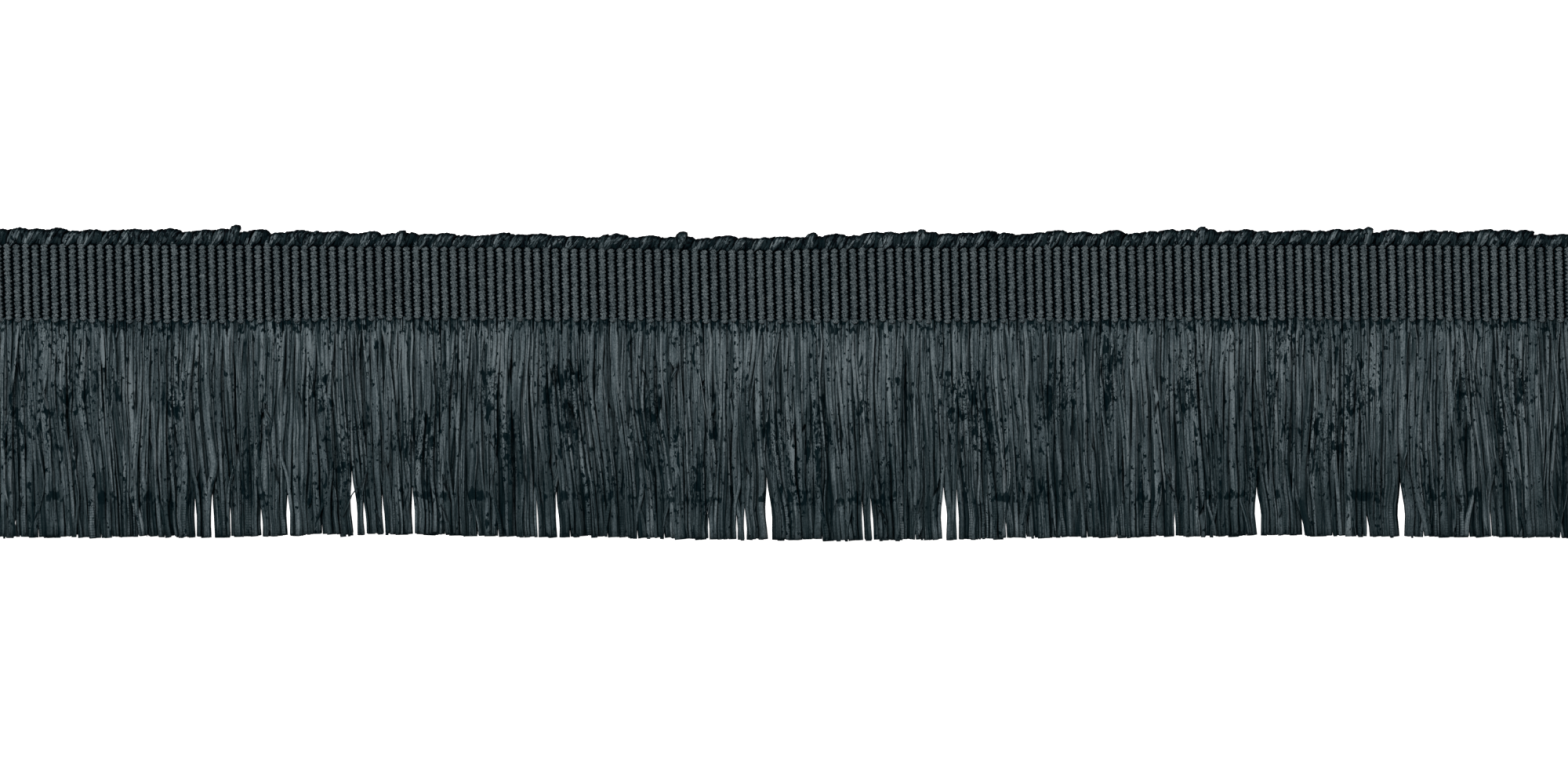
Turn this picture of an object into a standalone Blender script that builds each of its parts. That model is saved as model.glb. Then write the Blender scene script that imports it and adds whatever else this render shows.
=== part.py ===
"""A cut length of raffia fringe trim, lying face up on a flat surface.

It is woven: flat raffia strips run up and down inside a ribbed heading, turn round in loops along the
heading's top edge, and are cut off below it as a two-layer fringe.

Metres, +Z up. X runs along the trim, +Y points from the fringe's tips to the loops, and Z = 0 is the
surface that the trim lies on. The origin is under the middle of the whole object.
"""

import math
import random

import bmesh
import bpy

MM = 0.001

# Driving sizes
RIB_PITCH = 1.523 * MM
RIBS = 176
LENGTH = RIBS * RIB_PITCH
THICKNESS = 1.5 * MM
CLEARANCE = 0.3 * MM
SEED = 41

# Lines across the trim, measured up from the middle of its height
LOOP_LINE = 25.0 * MM
HEADING_TOP_LINE = 22.9 * MM
HEADING_FOOT_LINE = 10.6 * MM
TIP_LINE = -24.9 * MM

# How far each line wanders from straight, in millimetres, at places along the trim
WAVE_COLUMNS = ("x", "loops", "heading_top", "heading_foot", "tips")
WAVE = (
    (-134, 0.6, 0.4, 0.1, 0.0),
    (-96, 0.5, 0.3, -0.2, 0.1),
    (-64, -0.1, 0.0, 0.3, 0.5),
    (-32, -0.5, -0.3, 0.1, 0.1),
    (-6, -0.7, -0.6, -0.2, -0.3),
    (19, 0.0, -0.2, -0.2, -0.4),
    (45, 0.1, 0.0, 0.0, 0.0),
    (77, 0.5, 0.3, 0.3, 0.3),
    (103, 0.4, 0.2, 0.2, 0.1),
    (134, -0.1, -0.1, 0.0, 0.0),
)

# Ribs of the heading, as shares of the pitch and heights
RIB_LEAN = 0.027
GROOVE_HEIGHT = 0.95 * MM
CREST_START = 0.24
CREST_END = 0.78
CREST_UNEVENNESS = 0.05 * MM
RIBS_A_BACK_SPAN = 4

# The raffia comes out from under both edges of the heading, through a step along its back
STEP_HEIGHT = 0.65 * MM
STEP_DEPTH = 1.0 * MM

# Loops along the top edge, one for every two ribs
LOOP_PITCH = 2 * RIB_PITCH
LOOP_SLANT = 0.45 * MM
LOOP_UNEVENNESS = 0.12
LOOP_STATIONS = ((0.06, 0.74), (0.36, 1.0), (0.76, 0.97))  # share of a loop's pitch, fullness
LOOP_FOOT = ((-0.45 * MM, 0.0), (0.35 * MM, 0.93 * MM))  # out from the clearance line, and up
LOOP_SECTION = ((0.38, 1.0), (0.80, 0.74), (1.0, 0.34), (0.82, 0.0))  # shares of reach and thickness

# Fringe: two layers of flat strips, each layer rooted in its own narrow strip
FRINGE_COLUMNS = ("low", "high", "root_high", "tuck")
BACK_LAYER = (0.0, 0.55 * MM, 0.35 * MM, 0.6 * MM)
FRONT_LAYER = (0.85 * MM, 1.45 * MM, 1.45 * MM, -CLEARANCE)
ROOT_DEPTH = 1.0 * MM
STRAND_GAP = 0.26 * MM
STRANDS_A_LAYER = 145
STRAND_RINGS = (0.0, 0.48, 0.76, 1.0)
TIP_UNEVENNESS = 0.28 * MM
FACET_TILT = 0.12 * MM

# The fringe leans to the right on its way down, and its strips wander together
LEAN = 1.1 * MM
WANDER_COLUMNS = ("reach", "wavelength", "phase")
WANDER = ((0.40, 38.0, 0.6), (0.22, 17.0, 2.1), (0.12, 9.0, 4.4))
GAP_SPREAD = 5.0 * MM

# Gaps that open between the tips, in millimetres: place along the tips, height and width
GAP_COLUMNS = ("x", "height", "width")
GAPS = (
    (-96.4, 6.7, 0.35),
    (-93.8, 4.8, 0.20),
    (-90.7, 5.8, 0.15),
    (-85.6, 4.8, 0.35),
    (-81.2, 7.2, 0.60),
    (-70.3, 10.0, 0.95),
    (-68.6, 5.3, 0.40),
    (-65.5, 6.4, 0.35),
    (-60.7, 8.0, 0.45),
    (-40.3, 6.2, 0.15),
    (-37.1, 5.5, 0.20),
    (-12.3, 2.7, 0.15),
    (-7.7, 3.7, 0.20),
    (-6.3, 5.1, 0.40),
    (-2.3, 9.6, 0.95),
    (13.1, 5.8, 0.20),
    (14.6, 6.6, 0.30),
    (26.3, 8.5, 0.90),
    (28.5, 8.4, 0.35),
    (36.5, 2.0, 0.15),
    (64.1, 3.6, 0.20),
    (77.9, 8.1, 1.00),
    (101.4, 8.7, 1.05),
    (116.0, 5.4, 0.15),
)

# Finishes: base colour and roughness
THREAD_FINISH = ((0.052, 0.064, 0.068), 0.85)
RAFFIA_FINISH = ((0.040, 0.056, 0.062), 0.55)
DEEP_RAFFIA_FINISH = ((0.020, 0.031, 0.035), 0.60)


def clear_scene():
    for obj in list(bpy.data.objects):
        bpy.data.objects.remove(obj)


def smooth(share):
    """0 to 1 with a level start and end."""
    share = min(1.0, max(0.0, share))
    return share * share * (3 - 2 * share)


def wave(line, x):
    """How far a line of the trim wanders from straight at x."""
    column = WAVE_COLUMNS.index(line)
    for left, right in zip(WAVE, WAVE[1:]):
        if x <= right[0] * MM or right is WAVE[-1]:
            share = (x / MM - left[0]) / (right[0] - left[0])
            return (left[column] + (right[column] - left[column]) * smooth(share)) * MM


def loop_line(x):
    return LOOP_LINE + wave("loops", x)


def heading_top(x):
    return HEADING_TOP_LINE + wave("heading_top", x)


def heading_foot(x):
    return HEADING_FOOT_LINE + wave("heading_foot", x)


def tip_line(x):
    return TIP_LINE + wave("tips", x)


def finished_object(name, points, faces, finish):
    """A closed mesh as an object, its faces turned outwards, with its own material."""
    mesh = bpy.data.meshes.new(name)
    mesh.from_pydata(points, [], faces)
    shape = bmesh.new()
    shape.from_mesh(mesh)
    bmesh.ops.recalc_face_normals(shape, faces=shape.faces)
    shape.to_mesh(mesh)
    shape.free()
    colour, roughness = finish
    material = bpy.data.materials.new(name + "_finish")
    material.use_nodes = True
    shader = material.node_tree.nodes["Principled BSDF"]
    shader.inputs["Base Color"].default_value = (*colour, 1.0)
    shader.inputs["Roughness"].default_value = roughness
    shader.inputs["Metallic"].default_value = 0.0
    mesh.materials.append(material)
    obj = bpy.data.objects.new(name, mesh)
    bpy.context.scene.collection.objects.link(obj)
    return obj


def make_heading():
    """The ribbed tape: ribs raised across its face, a flat back, and a step along both back edges."""
    chance = random.Random(SEED)
    profile = []
    for rib in range(RIBS):
        crest = THICKNESS - chance.uniform(0, CREST_UNEVENNESS)
        profile.append((rib, GROOVE_HEIGHT))
        profile.append((rib + CREST_START, crest))
        profile.append((rib + CREST_END, crest))
    profile.append((RIBS, GROOVE_HEIGHT))

    points = []

    def add(x, y, z):
        """Adds a point, with the ribs' lean, and gives its number."""
        middle = (heading_top(x) + heading_foot(x)) / 2
        points.append((x - RIB_LEAN * (y - middle), y, z))
        return len(points) - 1

    upper, lower = [], []
    for place, height in profile:
        x = place * RIB_PITCH - LENGTH / 2
        upper.append(add(x, heading_top(x), height))
        lower.append(add(x, heading_foot(x), height))

    faces = []
    for place in range(len(profile) - 1):
        faces.append((upper[place], lower[place], lower[place + 1], upper[place + 1]))

    backs = []
    for rib in range(0, RIBS + 1, RIBS_A_BACK_SPAN):
        x = rib * RIB_PITCH - LENGTH / 2
        top, foot = heading_top(x), heading_foot(x)
        inner_top, inner_foot = top - STEP_DEPTH, foot + STEP_DEPTH
        section = ((top, STEP_HEIGHT), (inner_top, STEP_HEIGHT), (inner_top, 0.0))
        section += ((inner_foot, 0.0), (inner_foot, STEP_HEIGHT), (foot, STEP_HEIGHT))
        backs.append([add(x, y, z) for y, z in section])
    for span, (here, there) in enumerate(zip(backs, backs[1:])):
        first = span * RIBS_A_BACK_SPAN * 3
        last = first + RIBS_A_BACK_SPAN * 3
        for side in range(len(here) - 1):
            faces.append((here[side], there[side], there[side + 1], here[side + 1]))
        faces.append((*upper[first : last + 1], there[0], here[0]))
        faces.append((*lower[first : last + 1], there[-1], here[-1]))
    faces.append((upper[0], *backs[0], lower[0]))
    faces.append((upper[-1], *backs[-1], lower[-1]))
    return finished_object("heading", points, faces, THREAD_FINISH)


def make_loop_edge():
    """The raffia's turns along the top edge, as slanting lobes of one band with a flat underside."""
    chance = random.Random(SEED + 1)
    sections = []
    for loop in range(RIBS // 2):
        size = 1 + chance.uniform(-LOOP_UNEVENNESS, LOOP_UNEVENNESS)
        for share, fullness in LOOP_STATIONS:
            sections.append(((loop + share) * LOOP_PITCH - LENGTH / 2, fullness * size))
    sections[0] = (LOOP_SLANT - LENGTH / 2, sections[0][1])

    points = []
    for x, fullness in sections:
        foot = heading_top(x) + CLEARANCE
        reach = loop_line(x) - foot
        section = list(LOOP_FOOT)
        section += [(out * reach * fullness, up * THICKNESS * fullness) for out, up in LOOP_SECTION]
        for out, up in section:
            points.append((x + LOOP_SLANT * (2 * out / reach - 1), foot + out, up))
    sides = len(LOOP_FOOT) + len(LOOP_SECTION)
    faces = [tuple(range(sides)), tuple(range(len(points) - sides, len(points)))]
    for section in range(len(sections) - 1):
        for side in range(sides):
            a = section * sides + side
            b = section * sides + (side + 1) % sides
            faces.append((a, b, b + sides, a + sides))
    return finished_object("loop_edge", points, faces, RAFFIA_FINISH)


def drift(x, t):
    """How far a strip that is rooted at x has moved along the trim at share t of its way down."""
    total = LEAN * t**1.4
    for reach, wavelength, phase in WANDER:
        total += reach * MM * t**1.5 * math.sin(2 * math.pi * x / (wavelength * MM) + phase)
    return total


def root_under(tip_x):
    """Where a strip is rooted whose tip lies at tip_x."""
    x = tip_x
    for _ in range(20):
        x = tip_x - drift(x, 1.0)
    return x


def gap_table():
    """Each gap's root place, the share of the way down at which it opens, and its width at the tips."""
    fall = HEADING_FOOT_LINE - CLEARANCE - ROOT_DEPTH - TIP_LINE
    return [(root_under(x * MM), 1 - height * MM / fall, width * MM) for x, height, width in GAPS]


def front_borders(chance, gaps):
    """Where the front strips part from each other, as root places, each with its gap's number or None."""
    ends = [(-LENGTH / 2, None), *((gap[0], number) for number, gap in enumerate(gaps))]
    ends.append((LENGTH / 2, None))
    mean = LENGTH / STRANDS_A_LAYER
    borders = [ends[0]]
    for (left, _), (right, number) in zip(ends, ends[1:]):
        count = max(1, round((right - left) / mean))
        widths = [chance.uniform(0.7, 1.3) for _ in range(count)]
        for place in range(1, count):
            borders.append((left + (right - left) * sum(widths[:place]) / sum(widths), None))
        borders.append((right, number))
    return borders


def back_borders(borders):
    """The back strips part behind the middle of each front strip. One of them runs to each gap."""
    middles = []
    for (left, number), (right, _) in zip(borders, borders[1:]):
        middles.append(((left + right) / 2, number))
    return [borders[0], *middles[1:-1], borders[-1]]


def border_place(border, on_right, t, gaps):
    """Where along the trim the strip on one side of a border has its edge, at share t of the way down."""
    root, own_gap = border
    place = root
    if own_gap is not None:
        target, start, _ = gaps[own_gap]
        place += (target - root) * min(1.0, t / start) ** 6
    total = place + drift(place, t)
    for number, (gap, start, width) in enumerate(gaps):
        right = on_right if number == own_gap else place > gap
        opening = width / 2 * math.sqrt(smooth((t - start) / (1 - start)))
        total += (1 if right else -1) * opening * math.exp(-abs(place - gap) / GAP_SPREAD)
    return total + (STRAND_GAP / 2 if on_right else -STRAND_GAP / 2)


def strand_rings(borders, gaps):
    """The shares of the way down at which a strip has points: more beside a gap."""
    starts = [gaps[number][1] for _, number in borders if number is not None]
    if not starts:
        return STRAND_RINGS
    return (*STRAND_RINGS[:2], min(starts), (1 + min(starts)) / 2, 1.0)


def make_fringe_layer(name, layer, borders, finish, seed):
    """One layer of the fringe: flat four-sided strips that part below a narrow root strip."""
    chance = random.Random(seed)
    gaps = gap_table()
    low, high, root_high, tuck = layer
    points, faces = [], []

    def add_pair(x, y, top):
        """Adds a point at the layer's underside and one above it, and gives both numbers."""
        points.extend([(x, y, low), (x, y, top)])
        return len(points) - 2, len(points) - 1

    upper = [add_pair(x, heading_foot(x) + tuck, root_high) for x, _ in borders]
    last_low = last_high = None
    for strand, (left, right) in enumerate(zip(borders, borders[1:])):
        tilt = chance.uniform(-FACET_TILT, FACET_TILT)
        extra = chance.uniform(-TIP_UNEVENNESS, TIP_UNEVENNESS)
        rings = []
        for t in strand_rings((left, right), gaps):
            ring = []
            for border, on_right, side in ((left, True, -1), (right, False, 1)):
                x = border_place(border, on_right, t, gaps)
                start = heading_foot(x) - CLEARANCE - ROOT_DEPTH
                y = start + (tip_line(x) + extra - start) * t
                ring += add_pair(x, y, high - abs(tilt) + side * tilt if t else root_high)
            rings.append(ring)
        for above, below in zip(rings, rings[1:]):
            left_low, left_high, right_low, right_high = above
            left_low_next, left_high_next, right_low_next, right_high_next = below
            faces.append((left_high, left_high_next, right_high_next, right_high))
            faces.append((left_low, right_low, right_low_next, left_low_next))
            faces.append((left_low, left_low_next, left_high_next, left_high))
            faces.append((right_low, right_high, right_high_next, right_low_next))
        left_low, left_high, right_low, right_high = rings[-1]
        faces.append((left_low, right_low, right_high, left_high))

        left_low, left_high, right_low, right_high = rings[0]
        (here_low, here_high), (next_low, next_high) = upper[strand], upper[strand + 1]
        faces.append((here_high, left_high, right_high, next_high))
        faces.append((here_low, next_low, right_low, left_low))
        faces.append((here_low, here_high, next_high, next_low))
        if last_low is None:
            faces.append((here_low, left_low, left_high, here_high))
        else:
            faces.append((here_high, last_high, left_high))
            faces.append((here_low, left_low, last_low))
            faces.append((last_low, left_low, left_high, last_high))
        last_low, last_high = right_low, right_high
    end_low, end_high = upper[-1]
    faces.append((last_low, end_low, end_high, last_high))
    return finished_object(name, points, faces, finish)


def centre_on_origin(objects):
    """Moves the whole trim so that the middle of its length and height is over the origin."""
    corners = [point.co for obj in objects for point in obj.data.vertices]
    for axis in (0, 1):
        places = [corner[axis] for corner in corners]
        middle = (min(places) + max(places)) / 2
        for obj in objects:
            obj.location[axis] = -middle


def main():
    clear_scene()
    front = front_borders(random.Random(SEED + 2), gap_table())
    back = back_borders(front)
    objects = [
        make_heading(),
        make_loop_edge(),
        make_fringe_layer("fringe_back", BACK_LAYER, back, DEEP_RAFFIA_FINISH, SEED + 3),
        make_fringe_layer("fringe_front", FRONT_LAYER, front, RAFFIA_FINISH, SEED + 4),
    ]
    centre_on_origin(objects)


main()
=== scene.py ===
"""The raffia fringe trim's visual model: woven heading, loops and every strip of the fringe.

It follows the lines of the solids, in the same frame: their waves, lean, wander and gaps. One thin gap near
the right end is finer here. Lengths are in millimetres, up to where the meshes are made.
"""

import math

import bpy
import numpy as np
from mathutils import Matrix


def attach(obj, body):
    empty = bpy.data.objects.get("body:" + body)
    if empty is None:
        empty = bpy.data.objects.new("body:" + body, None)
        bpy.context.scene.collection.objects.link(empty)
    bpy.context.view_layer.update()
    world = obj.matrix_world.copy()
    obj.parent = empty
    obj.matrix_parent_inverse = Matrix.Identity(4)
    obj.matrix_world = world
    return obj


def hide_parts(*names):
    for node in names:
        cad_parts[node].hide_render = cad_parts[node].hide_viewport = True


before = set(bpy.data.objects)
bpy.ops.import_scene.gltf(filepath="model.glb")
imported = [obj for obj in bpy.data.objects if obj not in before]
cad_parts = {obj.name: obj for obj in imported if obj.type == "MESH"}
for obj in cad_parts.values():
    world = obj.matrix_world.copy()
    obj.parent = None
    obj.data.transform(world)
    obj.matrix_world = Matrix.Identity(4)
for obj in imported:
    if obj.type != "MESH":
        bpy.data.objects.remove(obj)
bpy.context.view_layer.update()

MM = 0.001
TURN = 2 * math.pi
UPWARDS = np.array((0.0, 0.0, 1.0))

# The trim's own sizes, as in the part's source
RIB_PITCH = 1.523
RIBS = 176
LENGTH = RIBS * RIB_PITCH
LOOP_LINE = 25.0
HEADING_TOP_LINE = 22.9
HEADING_FOOT_LINE = 10.6
TIP_LINE = -24.9
RIB_LEAN = 0.027
ROOT_INSET = 1.3

# How far each line wanders from straight at places along the trim
WAVE_COLUMNS = ("x", "loops", "heading_top", "heading_foot", "tips")
WAVE = np.array(
    (
        (-134, 0.6, 0.4, 0.1, 0.0),
        (-96, 0.5, 0.3, -0.2, 0.1),
        (-64, -0.1, 0.0, 0.3, 0.5),
        (-32, -0.5, -0.3, 0.1, 0.1),
        (-6, -0.7, -0.6, -0.2, -0.3),
        (19, 0.0, -0.2, -0.2, -0.4),
        (45, 0.1, 0.0, 0.0, 0.0),
        (77, 0.5, 0.3, 0.3, 0.3),
        (103, 0.4, 0.2, 0.2, 0.1),
        (134, -0.1, -0.1, 0.0, 0.0),
    )
)

# The fringe leans to the right on its way down, and its strips wander together
LEAN = 1.1
LEAN_POWER = 1.4
WANDER_POWER = 1.5
WANDER_COLUMNS = ("reach", "wavelength", "phase")
WANDER = ((0.40, 38.0, 0.6), (0.22, 17.0, 2.1), (0.12, 9.0, 4.4))

# Gaps that open between the tips: place along them, height and width
GAP_COLUMNS = ("x", "height", "width")
GAPS = np.array(
    (
        (-96.4, 6.7, 0.35),
        (-93.8, 4.8, 0.20),
        (-90.7, 5.8, 0.15),
        (-85.6, 4.8, 0.35),
        (-81.2, 7.2, 0.60),
        (-70.3, 10.0, 0.95),
        (-68.6, 5.3, 0.40),
        (-65.5, 6.4, 0.35),
        (-60.7, 8.0, 0.45),
        (-40.3, 6.2, 0.15),
        (-37.1, 5.5, 0.20),
        (-12.3, 2.7, 0.15),
        (-7.7, 3.7, 0.20),
        (-6.3, 5.1, 0.40),
        (-2.3, 9.6, 0.95),
        (13.1, 5.8, 0.20),
        (14.6, 6.6, 0.30),
        (26.3, 8.5, 0.90),
        (28.5, 8.4, 0.35),
        (36.5, 2.0, 0.15),
        (64.1, 3.6, 0.20),
        (77.9, 8.1, 1.00),
        (101.4, 8.7, 1.05),
        (116.0, 4.7, 0.05),
    )
)
GAP_SPREAD = 5.0
GAP_LEAD = 0.6
LEAST_OPENING = 0.06
GAP_WIDEST_AT = 0.6
GAP_CLOSING = 0.40
ROOT_STEPS = 20

# Small nicks between the tips, scattered clear of those gaps
NICKS = 52
NICK_MARGIN = 3
NICK_PITCH = (LENGTH - 2 * NICK_MARGIN) / NICKS
NICK_SHIFT = 1.5
NICK_CLEARANCE = 2.0
NICK_HEIGHTS = (0.4, 1.5)
NICK_WIDTHS = (0.0, 0.18)
NICK_SEED = 63


def rows(columns, table):
    """The rows of a table, each as a dictionary by column."""
    return [dict(zip(columns, row)) for row in table]


def column(name, columns, table):
    return table[:, columns.index(name)]


def smooth(share):
    """0 to 1 with a level start and end."""
    share = np.clip(share, 0.0, 1.0)
    return share * share * (3 - 2 * share)


def wave(line, x):
    """How far a line of the trim wanders from straight at x."""
    places = column("x", WAVE_COLUMNS, WAVE)
    heights = column(line, WAVE_COLUMNS, WAVE)
    left = np.clip(np.searchsorted(places, x, side="left") - 1, 0, len(WAVE) - 2)
    share = smooth((x - places[left]) / (places[left + 1] - places[left]))
    return heights[left] + (heights[left + 1] - heights[left]) * share


def loop_line(x):
    return LOOP_LINE + wave("loops", x)


def heading_top(x):
    return HEADING_TOP_LINE + wave("heading_top", x)


def heading_foot(x):
    return HEADING_FOOT_LINE + wave("heading_foot", x)


def tip_line(x):
    return TIP_LINE + wave("tips", x)


def drift(x, t):
    """How far a strip that is rooted at x has moved along the trim at share t of its way down."""
    t = np.clip(t, 0.0, 1.0)
    total = LEAN * t**LEAN_POWER
    for row in rows(WANDER_COLUMNS, WANDER):
        total = total + row["reach"] * t**WANDER_POWER * np.sin(TURN * x / row["wavelength"] + row["phase"])
    return total


def gap_table():
    """Each gap's root place, the share of the way down at which it opens, and its greatest width."""
    chance = np.random.RandomState(NICK_SEED)
    places = np.arange(NICK_MARGIN - LENGTH / 2, LENGTH / 2 - NICK_MARGIN, NICK_PITCH)
    places = places + chance.uniform(-NICK_SHIFT, NICK_SHIFT, NICKS)
    nicks = []
    for place in places:
        if np.min(np.abs(column("x", GAP_COLUMNS, GAPS) - place)) > NICK_CLEARANCE:
            nicks.append((place, chance.uniform(*NICK_HEIGHTS), chance.uniform(*NICK_WIDTHS)))
    tips, heights, widths = np.concatenate((GAPS + (0.0, GAP_LEAD, 0.0), nicks)).T
    roots = tips.copy()
    for _ in range(ROOT_STEPS):
        roots = tips - drift(roots, 1.0)
    fall = HEADING_FOOT_LINE - ROOT_INSET - TIP_LINE
    return roots, 1 - heights / fall, widths


def gap_opening(t, start, width):
    """Half of a gap's width at share t of the way down. A gap is a blade, widest above the tips."""
    share = (t - start) / (1 - start)
    closing = GAP_CLOSING * smooth((share - GAP_WIDEST_AT) / (1 - GAP_WIDEST_AT))
    return (width / 2 + LEAST_OPENING) * (smooth(share / GAP_WIDEST_AT) * (1 - closing))


def smooth_noise(chance, x, wavelength):
    """Even random values along x from -1 to 1, joined smoothly, one for each wavelength."""
    start = np.min(x) - wavelength
    count = int((np.max(x) - start) / wavelength) + 3
    values = chance.uniform(-1.0, 1.0, count)
    place = (x - start) / wavelength
    left = np.floor(place).astype(int)
    return values[left] + (values[left + 1] - values[left]) * smooth(place - left)


# Fields of patches over all the strips, each with its own random numbers
PATCH_SEED = 900
CREASE_FIELD = 3
CATCH_FIELD = 5
BUNDLE_SHADOW_FIELD = 7
LEAN_FIELD = 20


def patches(field, x, y, wide, tall):
    """Smooth patches about wide by tall, from 0 to 1."""
    chance = np.random.RandomState(PATCH_SEED + field)
    left, low = np.min(x) - wide, np.min(y) - tall
    columns = int((np.max(x) - left) / wide) + 3
    lines = int((np.max(y) - low) / tall) + 3
    values = chance.uniform(0, 1, (columns, lines))
    across, up = (x - left) / wide, (y - low) / tall
    i, j = np.floor(across).astype(int), np.floor(up).astype(int)
    u, v = smooth(across - i), smooth(up - j)
    below = values[i, j] * (1 - u) + values[i + 1, j] * u
    above = values[i, j + 1] * (1 - u) + values[i + 1, j + 1] * u
    return below * (1 - v) + above * v


def placed(name, data):
    """A new object in the scene."""
    obj = bpy.data.objects.new(name, data)
    bpy.context.scene.collection.objects.link(obj)
    return obj


def swept_mesh(name, rings, fields, material):
    """Closed tubes from rings of points, with fields at the points.

    The rings are an array of tubes, rings, points round each ring, and 3 in millimetres.
    """
    tubes, count, sides, _ = rings.shape
    number = np.arange(tubes * count * sides).reshape(tubes, count, sides)
    turned = np.roll(number, -1, axis=2)
    walls = np.stack((number[:, :-1], turned[:, :-1], turned[:, 1:], number[:, 1:]), axis=-1)
    starts = number[:, 0, ::-1]
    ends = number[:, -1]
    faces = walls.reshape(-1, 4).tolist() + starts.tolist() + ends.tolist()
    mesh = bpy.data.meshes.new(name)
    mesh.from_pydata((rings.reshape(-1, 3) * MM).tolist(), [], faces)
    mesh.polygons.foreach_set("use_smooth", np.ones(len(faces), dtype=bool))
    for field, values in fields.items():
        vector = values.ndim == rings.ndim
        store = mesh.attributes.new(field, "FLOAT_VECTOR" if vector else "FLOAT", "POINT")
        store.data.foreach_set("vector" if vector else "value", values.astype(np.float32).reshape(-1))
    mesh.materials.append(material)
    mesh.update()
    obj = placed(name, mesh)
    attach(obj, "root")
    return obj


# Materials


class Nodes:
    """A short way to write a material's nodes."""

    def __init__(self, name):
        self.material = bpy.data.materials.new(name)
        self.material.use_nodes = True
        self.tree = self.material.node_tree
        self.shader = self.tree.nodes["Principled BSDF"]

    def add(self, kind, **settings):
        node = self.tree.nodes.new(kind)
        for key, value in settings.items():
            setattr(node, key, value)
        return node

    def put(self, socket, value):
        if isinstance(value, bpy.types.NodeSocket):
            self.tree.links.new(value, socket)
        else:
            socket.default_value = value

    def math(self, operation, *values, clamp=False):
        node = self.add("ShaderNodeMath", operation=operation, use_clamp=clamp)
        for socket, value in zip(node.inputs, values):
            self.put(socket, value)
        return node.outputs[0]

    def plus(self, first, second):
        return self.math("ADD", first, second)

    def minus(self, first, second):
        return self.math("SUBTRACT", first, second)

    def times(self, first, second):
        return self.math("MULTIPLY", first, second)

    def most(self, first, *others):
        """The largest of the values."""
        for other in others:
            first = self.math("MAXIMUM", first, other)
        return first

    def ranged(self, value, low, high, at_low, at_high):
        """Runs from at_low, where the value is low or less, to at_high, where it is high or more."""
        node = self.add("ShaderNodeMapRange")
        numbers = {"Value": value, "From Min": low, "From Max": high, "To Min": at_low, "To Max": at_high}
        for key, number in numbers.items():
            self.put(node.inputs[key], number)
        return node.outputs[0]

    def field(self, name, vector=False):
        node = self.add("ShaderNodeAttribute", attribute_name=name)
        return node.outputs["Vector" if vector else "Fac"]

    def parts(self, vector):
        node = self.add("ShaderNodeSeparateXYZ")
        self.put(node.inputs[0], vector)
        return node.outputs

    def stretched(self, vector, scale):
        node = self.add("ShaderNodeVectorMath", operation="MULTIPLY")
        self.put(node.inputs[0], vector)
        node.inputs[1].default_value = scale
        return node.outputs[0]

    def moved(self, vector, offset):
        node = self.add("ShaderNodeVectorMath", operation="ADD")
        self.put(node.inputs[0], vector)
        self.put(node.inputs[1], offset)
        return node.outputs[0]

    def noises(self, vector, table):
        """A noise for each row of a table, by name."""
        found = {}
        for row in rows(NOISE_COLUMNS, table):
            node = self.add("ShaderNodeTexNoise")
            self.put(node.inputs["Vector"], self.stretched(vector, row["stretch"]))
            node.inputs["Scale"].default_value = 1.0
            for socket in NOISE_SOCKETS:
                node.inputs[socket].default_value = row[socket]
            found[row["name"]] = node.outputs["Fac"]
        return found

    def bends(self, vector, scale):
        """A soft noise, as a number and as a colour."""
        node = self.add("ShaderNodeTexNoise")
        node.inputs["Scale"].default_value = scale
        self.put(node.inputs["Vector"], vector)
        return node.outputs["Fac"], node.outputs["Color"]

    def spots(self, vector):
        """How far each place is from the nearest scattered point, and a random number for that point."""
        node = self.add("ShaderNodeTexVoronoi")
        self.put(node.inputs["Vector"], vector)
        node.inputs["Scale"].default_value = 1.0
        return node.outputs["Distance"], self.parts(node.outputs["Color"])[0]

    def ragged_spots(self, vector, grain, kind):
        """Spots whose edges are broken by the grain, 1 inside, and a random number for each."""
        kind = dict(zip(SPOT_COLUMNS, kind))
        away, pick = self.spots(self.stretched(vector, kind["stretch"]))
        away = self.plus(away, self.ranged(grain, *MIDDLE, -kind["ragged"], kind["ragged"]))
        return self.ranged(away, kind["inner"], kind["outer"], 1.0, 0.0), pick

    def chance(self, number):
        node = self.add("ShaderNodeTexWhiteNoise", noise_dimensions="1D")
        self.put(node.inputs["W"], number)
        return node.outputs["Value"]

    def openness(self, reach):
        """1 where the surface lies open, towards 0 down in the gaps between pieces: ambient occlusion, which
        the materials paint into their colour as shade.
        """
        node = self.add("ShaderNodeAmbientOcclusion", samples=4)
        node.inputs["Distance"].default_value = reach
        return node.outputs["AO"]

    def scaled(self, share, signals, table):
        """The share times a factor for each row of a table, which says how a signal sets that factor."""
        for row in rows(FACTOR_COLUMNS, table):
            signal = signals[row["name"]]
            factor = self.ranged(signal, row["low"], row["high"], row["at_low"], row["at_high"])
            share = self.times(share, factor)
        return share

    def toned(self, share, tones):
        """A colour that runs through the tones."""
        tones = rows(TONE_COLUMNS, tones)
        top = tones[-1]["share"]
        node = self.add("ShaderNodeValToRGB")
        ramp = node.color_ramp
        ramp.elements[0].color = (*tones[0]["colour"], 1.0)
        ramp.elements[1].color = (*tones[-1]["colour"], 1.0)
        for tone in tones[1:-1]:
            ramp.elements.new(tone["share"] / top).color = (*tone["colour"], 1.0)
        self.put(node.inputs["Fac"], self.math("DIVIDE", share, top, clamp=True))
        return node.outputs["Color"]

    def bump(self, height, strength):
        node = self.add("ShaderNodeBump")
        node.inputs["Strength"].default_value = strength
        node.inputs["Distance"].default_value = BUMP_DISTANCE
        self.put(node.inputs["Height"], height)
        self.put(self.shader.inputs["Normal"], node.outputs[0])


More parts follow.
